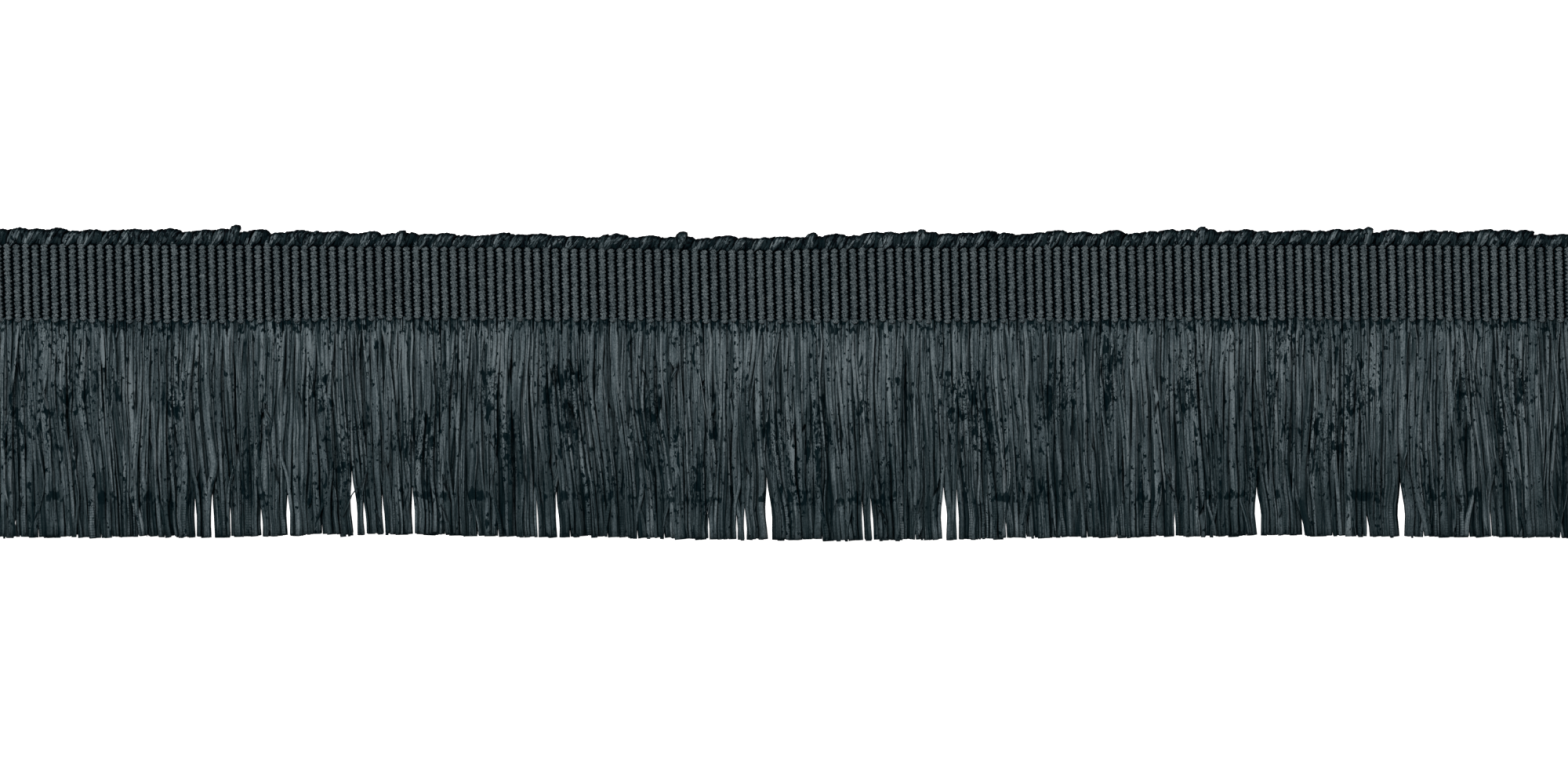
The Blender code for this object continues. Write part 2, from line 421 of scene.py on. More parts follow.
# Tones from the darkest crevice to the lightest fibre
TONE_COLUMNS = ("share", "colour")
RAFFIA_TONES = (
    (0.0, (0.0003, 0.0040, 0.0058)),
    (0.06, (0.0024, 0.0078, 0.0097)),
    (0.18, (0.0075, 0.0144, 0.0168)),
    (0.55, (0.0242, 0.0356, 0.0395)),
    (1.0, (0.0420, 0.0575, 0.0645)),
    (1.5, (0.0640, 0.0830, 0.0900)),
    (2.4, (0.1050, 0.1280, 0.1370)),
)
THREAD_TONES = (
    (0.0, (0.0002, 0.0010, 0.0019)),
    (0.10, (0.0035, 0.0070, 0.0090)),
    (0.5, (0.0210, 0.0290, 0.0325)),
    (1.0, (0.0440, 0.0570, 0.0620)),
    (1.5, (0.0680, 0.0840, 0.0900)),
    (2.4, (0.1150, 0.1350, 0.1420)),
)
LOOP_TONES = (THREAD_TONES[0], *RAFFIA_TONES[1:])

# Noises on each strip, over the whole trim, and on the threads
NOISE_SOCKETS = ("Detail", "Roughness", "Distortion")
NOISE_COLUMNS = ("name", "stretch", *NOISE_SOCKETS)
STRIP_NOISES = (
    ("streak", (4.0, 0.12, 1.0), 2.0, 0.6, 0.0),
    # Thin dark lines along each strip: painted shade in its folds
    ("fold", (3.4, 0.07, 1.7), 1.0, 0.5, 0.0),
    ("broad", (1.3, 0.15, 1.0), 1.0, 0.5, 0.0),
    ("grain", (4.2, 2.8, 1.0), 3.0, 0.8, 0.0),
)
TRIM_NOISES = (
    ("blot", (1.0, 0.34, 1.0), 2.5, 0.62, 0.45),
    ("root_blot", (1.5, 0.7, 1.0), 2.0, 0.6, 0.5),
    ("catch_mark", (0.95, 0.42, 1.0), 2.5, 0.62, 0.35),
)
THREAD_NOISES = (
    ("fuzz", (6.4, 5.6, 1.0), 2.5, 0.9, 0.0),
    ("pale_fibre", (4.4, 3.6, 3.0), 1.0, 0.6, 0.6),
)

# A noise takes nearly all its values between these
MIDDLE = (0.3, 0.7)

# How much each signal darkens or lightens the surface
FACTOR_COLUMNS = ("name", "low", "high", "at_low", "at_high")
RAFFIA_FACTORS = (
    ("streak", *MIDDLE, 0.68, 1.30),
    # Painted shade in the strips' folds
    ("fold", 0.39, 0.45, 0.25, 1.0),
    ("broad", *MIDDLE, 0.62, 1.32),
    ("grain", *MIDDLE, 0.38, 1.62),
    # Painted shade at the strips' edges
    ("edge", 0.0, 1.0, 1.0, 0.35),
    # Painted shade in the pits, dashes, crumbs and wrinkles
    ("crease", 0.0, 1.0, 1.0, 0.02),
    ("pale", 0.0, 1.0, 1.0, 1.9),
    # Painted shadow where the strips crimp near the tips
    ("caught", 0.0, 1.0, 1.0, 0.10),
    # Blots, and a painted shadow along the heading's foot
    ("blotted", 0.0, 1.0, 1.0, 0.06),
    # Painted shade of the small crimps
    ("ticks", 0.0, 1.0, 1.0, 0.50),
    ("above_tip", 0.05, 0.35, 0.45, 1.0),
    # Painted shade in the gaps between strips
    ("openness", 0.25, 0.74, 0.03, 1.0),
)
THREAD_FACTORS = (
    ("fuzz", 0.37, 0.63, 0.0, 2.05),
    ("twist", -1.0, 1.0, 0.84, 1.14),
    ("pale_fibre", 0.55, 0.70, 1.0, 1.9),
    # Painted shade in the crevices between threads
    ("openness", 0.25, 0.70, 0.0, 1.0),
)
CONTRAST = 1.12
EDGE_SHADE_POWER = 7.0
CREVICE_REACH = 0.7 * MM
THREAD_CREVICE_REACH = 0.6 * MM
BUMP_DISTANCE = 0.06 * MM
STREAK_BUMP = 0.6
CREASE_BUMP = 0.8
RAFFIA_BUMP = 0.45
TWIST_BUMP = 0.3
THREAD_BUMP = 0.6
RAFFIA_ROUGHNESS = (0.46, 0.62)
THREAD_ROUGHNESS = (0.82, 0.96)
RAFFIA_GLOSS = 0.02
THREAD_GLOSS = 0.01

# Creases: pits and dashes with ragged edges, crumbs, pale spots, and short bent wrinkles. The pits, dashes,
# crumbs and wrinkles are painted dark, as the shade in them
BEND_SCALE = 1.6
BEND_REACH = (0.9, 0.9, 0.0)
SPOT_COLUMNS = ("stretch", "inner", "outer", "ragged")
PIT = ((1.15, 0.66, 1.0), 0.26, 0.31, 0.16)
PIT_SHARE = 0.8
DASH = ((1.9, 1.05, 1.0), 0.25, 0.30, 0.12)
DASH_SHARES = (0.05, 0.42)
CREASED_FROM = 0.45
CRUMB_STRETCH = (2.6, 1.8, 1.0)
CRUMB_EDGE = (0.30, 0.36)
CRUMB_SHARE = 0.26
PALE_EDGE = (0.20, 0.34)
PALE_SHARE = 0.6
WRINKLE_WIDTH = 0.028
WRINKLE_SOFTNESS = 0.008
WRINKLE_DEPTH = 0.9


def creases(nodes, cell, fleck, grain):
    """1 where the strip has a pit, crumb, dash or wrinkle, and 1 at its pale spots."""
    bend, bend_colour = nodes.bends(cell, BEND_SCALE)
    warped = nodes.moved(cell, nodes.stretched(bend_colour, BEND_REACH))
    creased = nodes.minus(fleck, CREASED_FROM)

    pit, pick = nodes.ragged_spots(warped, grain, PIT)
    pit = nodes.times(pit, nodes.math("LESS_THAN", pick, nodes.times(fleck, PIT_SHARE)))

    dash, pick = nodes.ragged_spots(warped, grain, DASH)
    dashed = nodes.ranged(fleck, 0.0, 1.0, *DASH_SHARES)
    dash = nodes.times(dash, nodes.math("LESS_THAN", pick, dashed))

    away, pick = nodes.spots(nodes.stretched(warped, CRUMB_STRETCH))
    crumbled = nodes.times(creased, CRUMB_SHARE)
    crumb = nodes.times(nodes.ranged(away, *CRUMB_EDGE, 1.0, 0.0), nodes.math("LESS_THAN", pick, crumbled))
    lit = nodes.math("GREATER_THAN", pick, nodes.minus(1.0, nodes.times(crumbled, PALE_SHARE)))
    pale = nodes.times(nodes.ranged(away, *PALE_EDGE, 1.0, 0.0), lit)

    line = nodes.math("ABSOLUTE", nodes.minus(bend, 0.5))
    wrinkle = nodes.minus(nodes.times(creased, WRINKLE_WIDTH), line)
    wrinkle = nodes.ranged(wrinkle, -WRINKLE_SOFTNESS, WRINKLE_SOFTNESS, 0.0, 1.0)
    return nodes.most(pit, crumb, nodes.times(wrinkle, WRINKLE_DEPTH), dash), pale


# Dark blots lie across several strips at once, and a painted shadow gathers along the heading's foot
STRIP_LENGTH = 35.0
BLOT_GRAIN = 0.16
BLOT_LIMIT = {"low": 0.2, "high": 1.1, "at_low": 0.675, "at_high": 0.545}
BLOT_SOFTNESS = 0.025
ROOT_SHADOW_RISE = {"low": STRIP_LENGTH - 3.0, "high": STRIP_LENGTH + 1.0, "at_low": -0.20, "at_high": 0.02}
ROOT_SHADOW_EDGE = (0.52, 0.55)


def blots(nodes, noises, rough, fleck, along):
    blot = nodes.minus(nodes.plus(noises["blot"], rough), nodes.ranged(fleck, **BLOT_LIMIT))
    blot = nodes.ranged(blot, 0.0, BLOT_SOFTNESS, 0.0, 1.0)
    # Painted shadow of the heading over the strips' roots
    root_blot = nodes.plus(nodes.plus(noises["root_blot"], rough), nodes.ranged(along, **ROOT_SHADOW_RISE))
    return nodes.most(blot, nodes.ranged(root_blot, *ROOT_SHADOW_EDGE, 0.0, 1.0))


# The fringe was held flat near its tips: marks in a line, painted as the shadow where the strips crimp,
# plainer ends below it, and ticks on a few of them, painted as the shade of small crimps
CATCH_ALONG = 5.9
CATCH_UNEVENNESS = 0.35
CATCH_SOFTNESS = 0.06
CATCH_BAND = (CATCH_ALONG + 0.9, CATCH_ALONG + 4.2)
CATCH_LIMIT = 0.73
CATCH_EASING = 0.25
CATCH_MARK_SOFTNESS = 0.04
TICKED_FROM = 0.90
TICK_PITCH = 0.42
TICK_EDGE = (0.1, 0.6)
END_TONES = (0.55, 1.30)
CUT_CHANCE = 0.5
TICK_CHANCE = 1.7


def catch_marks(nodes, noises, rough, along, number):
    """1 at the marks of painted shadow, 1 at the painted shade of the ticks, and the tone of the ends below
    the line.
    """
    uneven = nodes.chance(nodes.plus(number, CUT_CHANCE))
    cut = nodes.plus(along, nodes.ranged(uneven, 0.0, 1.0, -CATCH_UNEVENNESS, CATCH_UNEVENNESS))
    end = nodes.ranged(cut, CATCH_ALONG - CATCH_SOFTNESS, CATCH_ALONG + CATCH_SOFTNESS, 1.0, 0.0)
    near = nodes.times(nodes.ranged(along, *CATCH_BAND, 1.0, 0.0), nodes.field("caught"))
    limit = nodes.minus(CATCH_LIMIT, nodes.times(near, CATCH_EASING))
    marks = nodes.minus(nodes.plus(noises["catch_mark"], rough), limit)
    marks = nodes.ranged(marks, 0.0, CATCH_MARK_SOFTNESS, 0.0, 1.0)
    marks = nodes.times(marks, nodes.minus(1.0, end))

    end = nodes.times(end, nodes.field("ends"))
    ticked = nodes.math("GREATER_THAN", nodes.chance(nodes.plus(number, TICK_CHANCE)), TICKED_FROM)
    ticks = nodes.math("SINE", nodes.times(along, TURN / TICK_PITCH))
    ticks = nodes.times(nodes.times(nodes.ranged(ticks, *TICK_EDGE, 0.0, 1.0), ticked), end)
    end_tone = nodes.ranged(nodes.chance(number), 0.0, 1.0, *END_TONES)
    return marks, ticks, nodes.ranged(end, 0.0, 1.0, 1.0, end_tone)


def raffia_material(name, brightness, tones):
    """Dry raffia strip: fine streaks along it, blots, and painted shade at its edges, in its folds, creases
    and crevices, along the heading's foot and at the marks near its tip.
    """
    nodes = Nodes(name)
    cell = nodes.field("cell", vector=True)
    fleck = nodes.field("fleck")
    _, along, number = nodes.parts(cell)
    signals = nodes.noises(cell, STRIP_NOISES)
    signals.update(nodes.noises(nodes.field("place", vector=True), TRIM_NOISES))
    grain = signals["grain"]
    rough = nodes.times(nodes.minus(grain, 0.5), BLOT_GRAIN)
    # Painted shade at the strips' edges, as if they turn down between strips
    signals["edge"] = nodes.math("POWER", nodes.math("ABSOLUTE", nodes.field("edge")), EDGE_SHADE_POWER)
    signals["crease"], signals["pale"] = creases(nodes, cell, fleck, grain)
    signals["blotted"] = blots(nodes, signals, rough, fleck, along)
    signals["caught"], signals["ticks"], end_tone = catch_marks(nodes, signals, rough, along, number)
    signals["above_tip"] = along
    # Painted shade: the colour darkens in the gaps between strips
    signals["openness"] = nodes.openness(CREVICE_REACH)

    share = nodes.times(nodes.field("shade"), nodes.times(end_tone, brightness))
    share = nodes.math("POWER", nodes.scaled(share, signals, RAFFIA_FACTORS), CONTRAST)
    nodes.put(nodes.shader.inputs["Base Color"], nodes.toned(share, tones))
    roughness = nodes.ranged(signals["broad"], *MIDDLE, *RAFFIA_ROUGHNESS)
    nodes.put(nodes.shader.inputs["Roughness"], roughness)
    nodes.shader.inputs["Specular IOR Level"].default_value = RAFFIA_GLOSS
    raised = nodes.times(signals["streak"], STREAK_BUMP)
    nodes.bump(nodes.minus(raised, nodes.times(signals["crease"], CREASE_BUMP)), RAFFIA_BUMP)
    return nodes.material


def thread_material(name, brightness):
    """Matte spun thread: soft twist, fuzz, a few paler fibres, and the painted light and shade that the
    threads carry.
    """
    nodes = Nodes(name)
    signals = nodes.noises(nodes.field("cell", vector=True), THREAD_NOISES)
    fuzz = signals["fuzz"]
    twist = nodes.math("SINE", nodes.times(nodes.field("twist"), TURN))
    signals["twist"] = twist
    # Painted shade: the colour darkens in the crevices between threads
    signals["openness"] = nodes.openness(THREAD_CREVICE_REACH)
    share = nodes.scaled(nodes.times(nodes.field("shade"), brightness), signals, THREAD_FACTORS)
    nodes.put(nodes.shader.inputs["Base Color"], nodes.toned(share, THREAD_TONES))
    nodes.put(nodes.shader.inputs["Roughness"], nodes.ranged(fuzz, *MIDDLE, *THREAD_ROUGHNESS))
    nodes.shader.inputs["Specular IOR Level"].default_value = THREAD_GLOSS
    nodes.bump(nodes.plus(fuzz, nodes.times(twist, TWIST_BUMP)), THREAD_BUMP)
    return nodes.material


raffia = raffia_material("raffia_strip", brightness=1.51, tones=RAFFIA_TONES)
loop_raffia = raffia_material("raffia_loop", brightness=1.50, tones=LOOP_TONES)
thread = thread_material("heading_thread", brightness=0.93)


# The woven heading

WARPS = 38
STEP_COLUMNS = ("phase", "rise", "width")
OVER_RIB = (
    (0.11, -0.1, 0.25),
    (0.19, 0.70, 0.34),
    (0.32, 0.95, 0.80),
    (0.50, 1.0, 1.0),
    (0.66, 0.95, 0.84),
    (0.78, 0.70, 0.40),
    (0.85, -0.1, 0.25),
)
UNDER_RIB = ((0.30, -1.0, 0.80), (0.70, -1.0, 0.80))
HEADING_INSET = 0.05
WARP_MIDDLE = 0.76
WARP_SWING = 0.58
WARP_HALF_WIDTH = 0.44
WARP_HALF_HEIGHT = 0.13
WARP_LOWEST = 0.02
WARP_SLANT = 0.10
THREAD_SECTION = np.array(((1.0, 0.3), (0.6, 0.8), (-0.6, 0.8), (-1.0, 0.3), (-0.5, -0.9), (0.5, -0.9)))

# How far the top threads lie off their even places. The threads below them take the last shift
TOP_THREADS = (0, 1, 2, 3)
TOP_SHIFTS = (-0.10, 0.10, -0.05, 0.05)

# How uneven the threads are at each rib: x and y in millimetres, the others as a share
UNEVEN_X = 0.06
UNEVEN_Y = 0.035
UNEVEN_RISE = 0.05
UNEVEN_WIDTH = 0.05
UNEVEN_TONE = 0.18
UNEVEN_RIB_TONE = 0.12
RIB_TONE_SEED = 4

# The threads' colour is painted light high on a rib and low on the back, with painted shade between
LIT_ABOVE = 0.95
LIT_ABOVE_RISE = 0.24
LIT_BELOW = 0.30
LIT_BELOW_FALL = 0.15

TWIST_PITCH = 0.40
TWIST_GIRTH = 0.8
THREAD_DEPTH = 0.2
THREAD_STEP = 3.7


def make_warps(name, parity, seed):
    """Every second warp thread: over one rib and under the next, along the whole trim."""
    chance = np.random.RandomState(seed)
    steps = []
    for rib in range(RIBS):
        for step in rows(STEP_COLUMNS, OVER_RIB if rib % 2 == parity else UNDER_RIB):
            steps.append((rib + step["phase"], rib, step["rise"], step["width"]))
    places, ribs, rise, width = np.array(steps).T
    ribs = ribs.astype(int)
    threads = np.arange(parity, WARPS, 2)
    count = len(threads)

    def jitter(reach):
        return chance.uniform(-reach, reach, (count, RIBS))[:, ribs]

    x = np.tile(places * RIB_PITCH - LENGTH / 2, (count, 1)) + jitter(UNEVEN_X)
    share = (threads[:, None] + 0.5) / WARPS
    top, foot = heading_top(x), heading_foot(x)
    y = top - HEADING_INSET - share * (top - foot - 2 * HEADING_INSET) + jitter(UNEVEN_Y)
    y += np.interp(threads, TOP_THREADS, TOP_SHIFTS)[:, None]
    y += np.where(rise >= 0, WARP_SLANT * (places % 1 - 0.5), 0.0)
    z = WARP_MIDDLE + WARP_SWING * rise * (1 + np.where(rise >= 0, jitter(UNEVEN_RISE), 0.0))
    x = x - RIB_LEAN * (y - (top + foot) / 2)
    half_wide = WARP_HALF_WIDTH * width * (1 + jitter(UNEVEN_WIDTH))

    centre = np.stack((x, y, z), axis=-1)
    run = np.gradient(centre, axis=1)
    run[..., 1] = 0
    run /= np.linalg.norm(run, axis=-1, keepdims=True)
    normal = np.stack((-run[..., 2], np.zeros_like(x), run[..., 0]), axis=-1)
    across, up = THREAD_SECTION.T
    sideways = np.array((0.0, 1.0, 0.0))
    rings = centre[:, :, None] + (half_wide[..., None] * across)[..., None] * sideways
    rings = rings + WARP_HALF_HEIGHT * up[:, None] * normal[:, :, None]
    rings[..., 2] = np.maximum(rings[..., 2], WARP_LOWEST)

    # Painted light and shade by height, carried in the shade field
    height = rings[..., 2]
    lit = np.clip((height - LIT_ABOVE) / LIT_ABOVE_RISE, 0.0, 1.0)
    lit = lit + np.where(up < 0, np.clip((LIT_BELOW - height) / LIT_BELOW_FALL, 0.0, 1.0), 0.0)
    tone = 1 + jitter(UNEVEN_TONE)
    rib_chance = np.random.RandomState(RIB_TONE_SEED)
    rib_tone = 1 + rib_chance.uniform(-UNEVEN_RIB_TONE, UNEVEN_RIB_TONE, RIBS)[ribs]
    shape = rings.shape[:3]
    around = half_wide[..., None] * across + THREAD_DEPTH * up
    along = np.broadcast_to(x[..., None], shape)
    number = np.broadcast_to((threads * THREAD_STEP)[:, None, None], shape)
    fields = {
        "cell": np.stack((around, along, number), axis=-1),
        "shade": lit * (tone * rib_tone)[..., None],
        "twist": along / TWIST_PITCH + around / TWIST_GIRTH + number,
    }
    return swept_mesh(name, rings, fields, thread)


# The bunches of raffia inside the ribs, which show only between the threads. Their colour is painted dark,
# darkest low down, as the shade between the threads
GROUND_COLUMNS = ("phase", "height")
GROUND_PROFILE = np.array(((0.0, 0.52), (0.16, 0.60), (0.30, 0.98), (0.50, 1.10), (0.70, 0.98), (0.84, 0.60)))
GROUND_DOWN = np.array((-0.045, 0.0, 0.2, 0.4, 0.6, 0.8, 1.0, 1.045))
GROUND_EDGE = 0.62
GROUND_BED = 0.30
GROUND_UNEVENNESS = 0.02
GROUND_SQUASH = 0.3
GROUND_LIT_ABOVE = 0.6
GROUND_LIT_RISE = 0.6
GROUND_SHADE_TONE = 0.15
GROUND_FLECK = 0.3
GROUND_SEED = 11


def make_ground():
    """Those bunches, as one ribbed sheet under the threads."""
    chance = np.random.RandomState(GROUND_SEED)
    phases = column("phase", GROUND_COLUMNS, GROUND_PROFILE)
    profile = column("height", GROUND_COLUMNS, GROUND_PROFILE)
    places = np.append(np.arange(RIBS)[:, None] + phases, RIBS)
    heights = np.append(np.tile(profile, RIBS), profile[0])
    x = np.tile(places * RIB_PITCH - LENGTH / 2, (len(GROUND_DOWN), 1))
    top, foot = heading_top(x) - HEADING_INSET, heading_foot(x) + HEADING_INSET
    y = top + (foot - top) * GROUND_DOWN[:, None]
    x = x - RIB_LEAN * (y - (top + foot) / 2)
    inside = (GROUND_DOWN >= 0) & (GROUND_DOWN <= 1)
    uneven = chance.uniform(-GROUND_UNEVENNESS, GROUND_UNEVENNESS, x.shape)
    high = heights * np.where(inside, 1.0, GROUND_EDGE)[:, None] + uneven
    face = np.stack((x, y, high), axis=-1)
    bed = np.stack((x, y, np.full_like(x, GROUND_BED)), axis=-1)
    rings = np.concatenate((face, bed[::-1]), axis=0).transpose(1, 0, 2)[None]
    shape = rings.shape[:3]
    # Painted shade: dark low down, and dark all over by the ground's shade tone
    lit = np.clip((rings[..., 2] - GROUND_LIT_ABOVE) / GROUND_LIT_RISE, 0.0, 1.0)
    fields = {
        "cell": rings * (1.0, GROUND_SQUASH, 0.0),
        "shade": lit * GROUND_SHADE_TONE,
        "fleck": np.full(shape, GROUND_FLECK),
        "edge": np.zeros(shape),
        "place": rings * (1.0, 1.0, 0.0),
    }
    return swept_mesh("heading_weft", rings, fields, raffia)


# Flat strips

# Points round a strip, as shares of its half width, thickness and curl
SECTION_COLUMNS = ("side", "rise", "dip")
STRIP_SECTION = np.array(((-1, 0.5, 1), (0, 0.5, 0), (1, 0.5, 1), (1, -0.5, 1), (0, -0.5, 0), (-1, -0.5, 1)))
STRIP_STEP = 7.3


def strip_rings(centre, half_width, roll, curl, thickness, outward):
    """Rings of flat strips along their centre lines. outward is the way that the strips' faces look."""
    run = np.gradient(centre, axis=1)
    run /= np.linalg.norm(run, axis=-1, keepdims=True)
    across = np.cross(outward, run)
    across /= np.linalg.norm(across, axis=-1, keepdims=True)
    normal = np.cross(run, across)
    cos, sin = np.cos(roll)[..., None], np.sin(roll)[..., None]
    turned_across = across * cos + normal * sin
    turned_normal = normal * cos - across * sin
    side, rise, dip = STRIP_SECTION.T
    wide = half_width[..., None] * side
    high = thickness * rise - (curl * half_width)[..., None] * dip
    rings = centre[:, :, None] + wide[..., None] * turned_across[:, :, None]
    return rings + high[..., None] * turned_normal[:, :, None]


def strip_fields(rings, half_width, along, shade, fleck, number):
    """What a strip's material reads: the place on it, its tone with painted shade, its creases and how near
    an edge is.
    """
    shape = rings.shape[:3]
    side = column("side", SECTION_COLUMNS, STRIP_SECTION)
    across = half_width[..., None] * side
    length_along = np.broadcast_to(along[..., None], shape)
    strip = np.broadcast_to(number[:, None, None] * STRIP_STEP, shape)
    return {
        "cell": np.stack((across, length_along, strip), axis=-1),
        "shade": np.broadcast_to(shade[..., None], shape),
        "fleck": np.broadcast_to(fleck[..., None], shape),
        "edge": np.broadcast_to(side, shape),
        "place": rings * (1.0, 1.0, 0.0),
    }


# The fringe

# The tone column paints the lower layers darker: painted shade under the layers above them
LAYER_COLUMNS = ("name", "node", "slot", "seed", "strips", "tone")
LAYERS = (
    ("fringe_back_strips", "fringe_back", "raffia_shaded", 31, 390, 0.45),
    ("fringe_middle_strips", None, "raffia", 32, 440, 0.92),
    ("fringe_front_strips", "fringe_front", "raffia", 33, 540, 1.36),
)

# The layers' forms: width, least half width, how much the strips turn, sway and gather at the ribs, the
# shares of them that stray and that flip, and their heights at the root, just below it and at the tip
FORM_COLUMNS = ("width", "least", "turning", "sway", "pinch", "strays", "flips", "root_z", "z", "tip_z")
FORMS = (
    (1.30, 0.55, 0.25, 0.2, 0.00, 0.00, 0.00, 0.50, 0.26, 0.16),
    (0.86, 0.16, 1.00, 0.8, 0.22, 0.00, 0.22, 0.80, 0.70, 0.42),
    (0.68, 0.14, 1.00, 1.0, 0.32, 0.10, 0.22, 1.12, 1.20, 0.85),
)

# Shares of the way down at which a strip has a ring: behind the heading, out from under it, and below
SHARES = np.array([-0.045, -0.02, 0.0, 0.02, 0.045, *np.linspace(0.085, 1.0, 19)])
BEHIND = -SHARES[0]
BEHIND_REACH = 0.55

# Roots: scattered, gathered at each rib, and slanting with it
ROOT_SCATTER = 0.4
GATHERED_AT = -0.01
GATHERED_OVER = 0.06
SLANTED_TO = 0.3

# Bends: reaches in millimetres, and turns on the way down. Below HELD_SHARE the strips run straight
HELD_SHARE = 0.83
LOOSE_FROM = 0.25
SWAY = (0.02, 0.16)
SWAY_TURNS = (0.5, 1.4)
ASLANT = 0.85
STRAY_ASLANT = 2.6
LEAN_PATCH = (10.0, 24.0)
LEAN_TOGETHER = 2.8
LEAN_TOGETHER_BY = 0.8
KINKS = 3
KINK_REACH = 0.42
SHAKE = 0.03

# Widths
WIDTH_SPREAD = 0.38
WIDEST_HALF = 0.95
STRAY_WIDTH = 0.5
SWELL = 0.10
SWELL_TURNS = (0.8, 2.5)
ROOT_NARROWING = 0.6
NARROWED_TO = 0.05
THICKNESS = 0.075
CURL = (0.02, 0.26)

# Rolls and flips, in radians and shares of the way down
ROLL_SPREAD = 0.20
ROLL_WAVE = (0.10, 0.50)
ROLL_TURNS = (0.6, 2.0)
ROLL_FROM = 0.06
FLIP_AT = (0.15, 1.05)
FLIP_OVER = (0.10, 0.24)

# Gaps and ends
GAP_SLACK = 1.5
SLACK_TAPER = 0.22
END_INSET = 0.2
TIP_RISE = 0.22
TIP_GROUP = 2.4
TIP_GROUP_REACH = 0.20
TIP_SPREAD = 0.10

# Heights
Z_SPREAD = 0.13
STRAY_Z = 0.15
Z_WAVE = 0.10
Z_TURNS = (0.7, 2.2)
ROOT_Z_FROM = -0.03
ROOT_Z_OVER = 0.09
EDGE_ROOM = 0.06
EDGE_SHARE_ABOVE = 0.7
FLOOR_ROOM = 0.02
HIGHEST = 1.95
LOWEST_POINT = 0.015

# Tones: some strips are dark, more so towards the tips, dark patches run across several, and long narrow
# bands of painted shadow lie between bundles of strips
DULL = (0.9, 1.6)
WAY_COLUMNS = ("t", "value")
DULL_SPREAD = np.array(((0.0, 0.52), (0.5, 0.70), (0.8, 0.84), (1.0, 0.80)))
# Levels down the strips: darkest behind the heading and just below its foot, as painted shade under it, and
# darker towards the tips
LEVELS = np.array(
    ((-0.045, 0.50), (-0.02, 0.75), (0.02, 0.90), (0.10, 1.00), (0.5, 0.85), (0.75, 0.67), (1.0, 0.60))
)
TONE_PATCH = (7.0, 8.0)
TONE_PATCH_LEAST = 0.70
TONE_PATCH_RISE = 0.50
BUNDLE_SHADOW_PATCH = (1.7, 15.0)
BUNDLE_SHADOW_LEAST = 0.78
BUNDLE_SHADOW_RISE = 0.44
TONE_SHAKE = 0.08
BRIGHTEST = 2.4

# Creases: a scatter everywhere, clusters half way down, and the line where the strips were caught
CREASE_PATCH = (3.4, 8.5)
CREASE_LEAST = 0.20
CREASE_RISE = 1.5
CREASE_BASE = 0.40
BELT_RISE = 0.78
BELT_AT = 0.42
BELT_WIDTH = 0.28
PLAIN_END_AT = 0.85
PLAIN_END_OVER = 0.04
PLAIN_END = 0.6
CREASE_SPREAD = 0.12
CREASE_MOST = 1.5
CATCH_PATCH = (3.2, 50.0)
CATCH_STEEPNESS = 2.6
CATCH_OFFSET = 0.75


def on_the_way(t, table):
    """A value at share t of the way down, from a table of values at a few shares."""
    return np.interp(t, column("t", WAY_COLUMNS, table), column("value", WAY_COLUMNS, table))


def kinks(chance, held, count):
    """Each strip's own bends: straight runs between a few random places, from -1 to 1."""
    places = chance.uniform(-1, 1, (count, KINKS + 2))
    share = np.clip(held, 0.0, 1.0) * KINKS
    left = np.floor(share).astype(int)
    strips = np.arange(count)[:, None]
    return places[strips, left] + (places[strips, left + 1] - places[strips, left]) * (share - left)


def keep_clear(x, half, t, roots, gaps):
    """Moves the strips off the gaps and in from the trim's cut ends, and narrows them to fit."""
    reach = LENGTH / 2 - END_INSET
    low = np.zeros_like(x) - reach + drift(-reach, t)
    high = np.zeros_like(x) + reach + drift(reach, t)
    for gap, start, width in zip(*gaps):
        opening = gap_opening(t, start, width)
        way = np.where(roots > gap, 1, -1)
        x = x + way * opening * np.exp(-np.abs(roots - gap) / GAP_SPREAD)
        slack = GAP_SLACK * (1 - smooth((t - start + SLACK_TAPER) / SLACK_TAPER))
        edge = gap + drift(gap, t) + way * (opening - slack)
        low = np.where(way > 0, np.maximum(low, edge), low)
        high = np.where(way < 0, np.minimum(high, edge), high)
    half = np.minimum(half, (high - low) / 2)
    return np.clip(x, low + half, high - half), half


